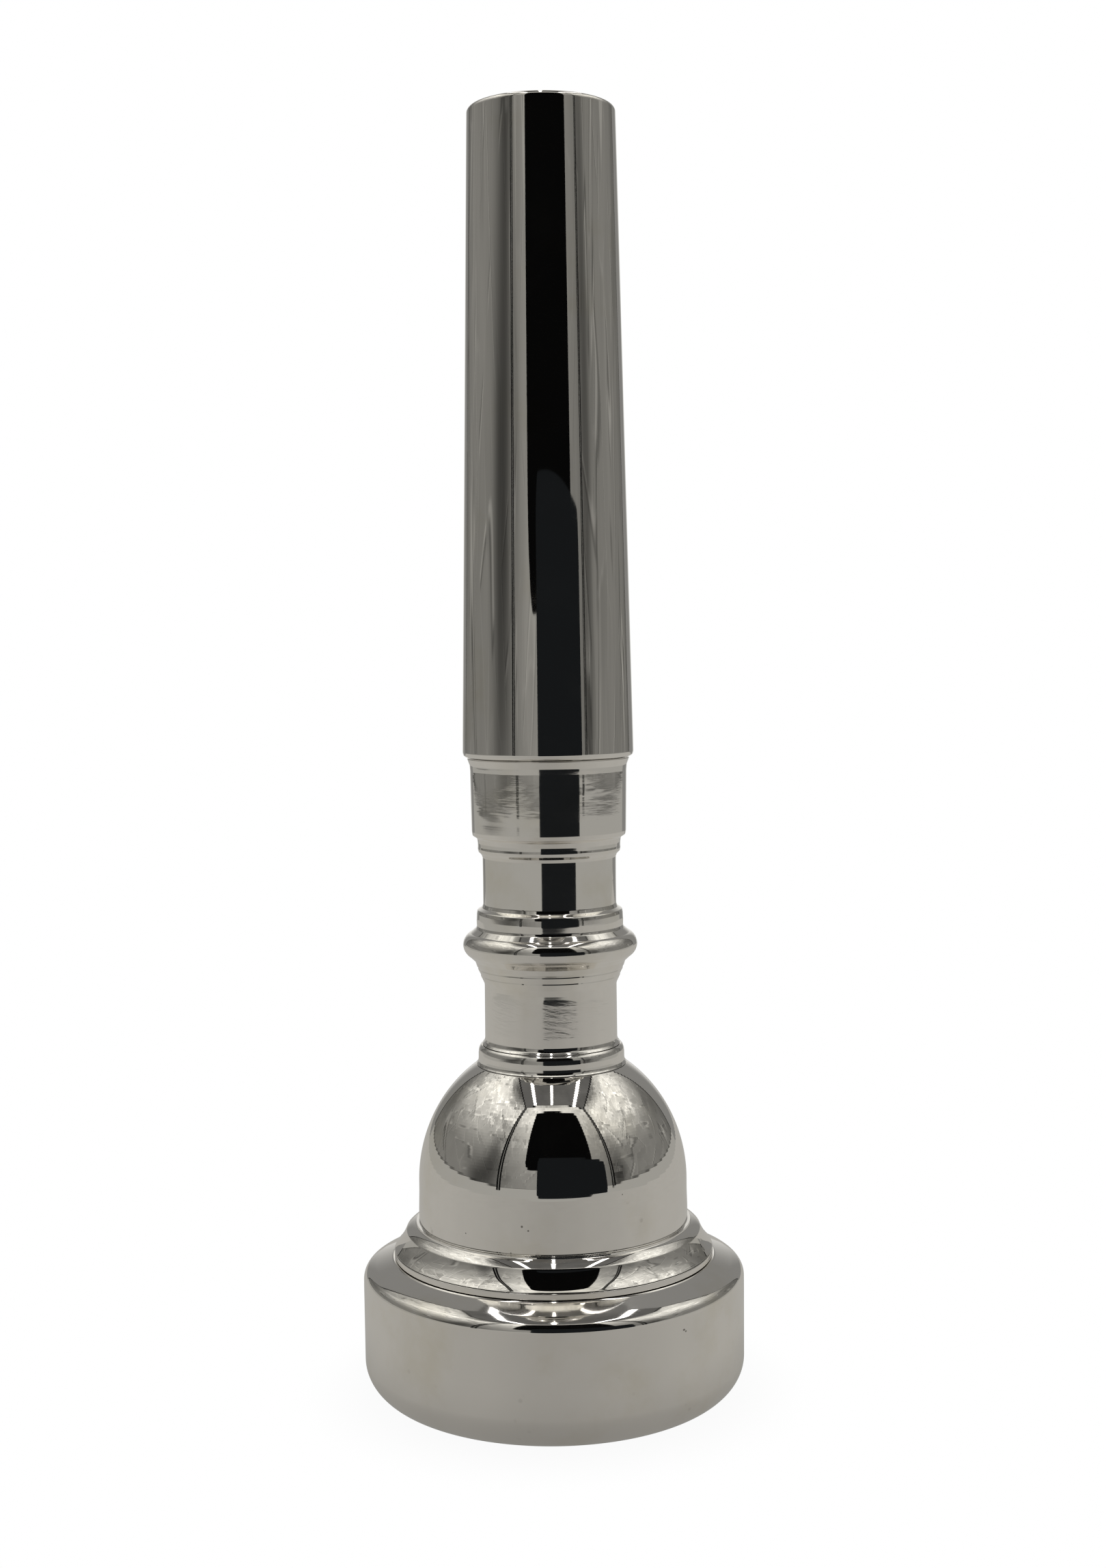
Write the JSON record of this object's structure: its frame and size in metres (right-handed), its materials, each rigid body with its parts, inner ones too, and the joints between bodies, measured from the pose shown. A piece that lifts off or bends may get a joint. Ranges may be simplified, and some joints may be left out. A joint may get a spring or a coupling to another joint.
{
  "type": "trumpet mouthpiece",
  "caption": "Silver-plated trumpet mouthpiece: screw rim, domed bell cup, turned neck with a bead and a slide-on tapered shank sleeve.",
  "frame": {"origin": "centre of the rim's contact face", "axes": "+Z along the bore axis, from the rim towards the shank's end; the part is a body of revolution, so X and Y are free"},
  "size_m": [0.0268, 0.0268, 0.088],
  "materials": {
    "silver_rim": "bright silver plate over brass, polished",
    "silver_ring": "bright silver plate, fine turning lines",
    "silver_cup": "bright silver plate over brass, polished, light pitting near the foot",
    "silver_backbore": "silver plate with visible turning lines on the collar",
    "silver_shank": "bright silver plate, polished along its length"
  },
  "bodies": {
    "rim": {"rim": "silver_rim"},
    "rim_ring": {"rim_ring": "silver_ring"},
    "cup": {"cup": "silver_cup"},
    "stem_ring": {"stem_ring": "silver_ring"},
    "backbore": {"backbore": "silver_backbore"},
    "shank_sleeve": {"shank_sleeve": "silver_shank"}
  },
  "joints": [
    {"name": "rim_thread_lift", "type": "slide", "parent": "rim", "child": "rim_ring", "axis": [0, 0, 1], "range_m": [0, 0.005]},
    {"name": "rim_thread_turn", "type": "hinge", "parent": "rim_ring", "child": "cup", "pos_m": [0, 0, 0.0105], "axis": [0, 0, 1], "range_deg": [0, 1440]},
    {"name": "stem_thread_lift", "type": "slide", "parent": "cup", "child": "stem_ring", "axis": [0, 0, 1], "range_m": [0, 0.00625]},
    {"name": "stem_thread_turn", "type": "hinge", "parent": "stem_ring", "child": "backbore", "pos_m": [0, 0, 0.0248], "axis": [0, 0, 1], "range_deg": [0, 1800]},
    {"name": "sleeve_pull", "type": "slide", "parent": "backbore", "child": "shank_sleeve", "axis": [0, 0, 1], "range_m": [0, 0.043]}
  ],
  "couplings": [
    {"joint": "rim_thread_turn", "follows": "rim_thread_lift", "rad_per_m": 5026.5},
    {"joint": "stem_thread_turn", "follows": "stem_thread_lift", "rad_per_m": 5026.5}
  ]
}
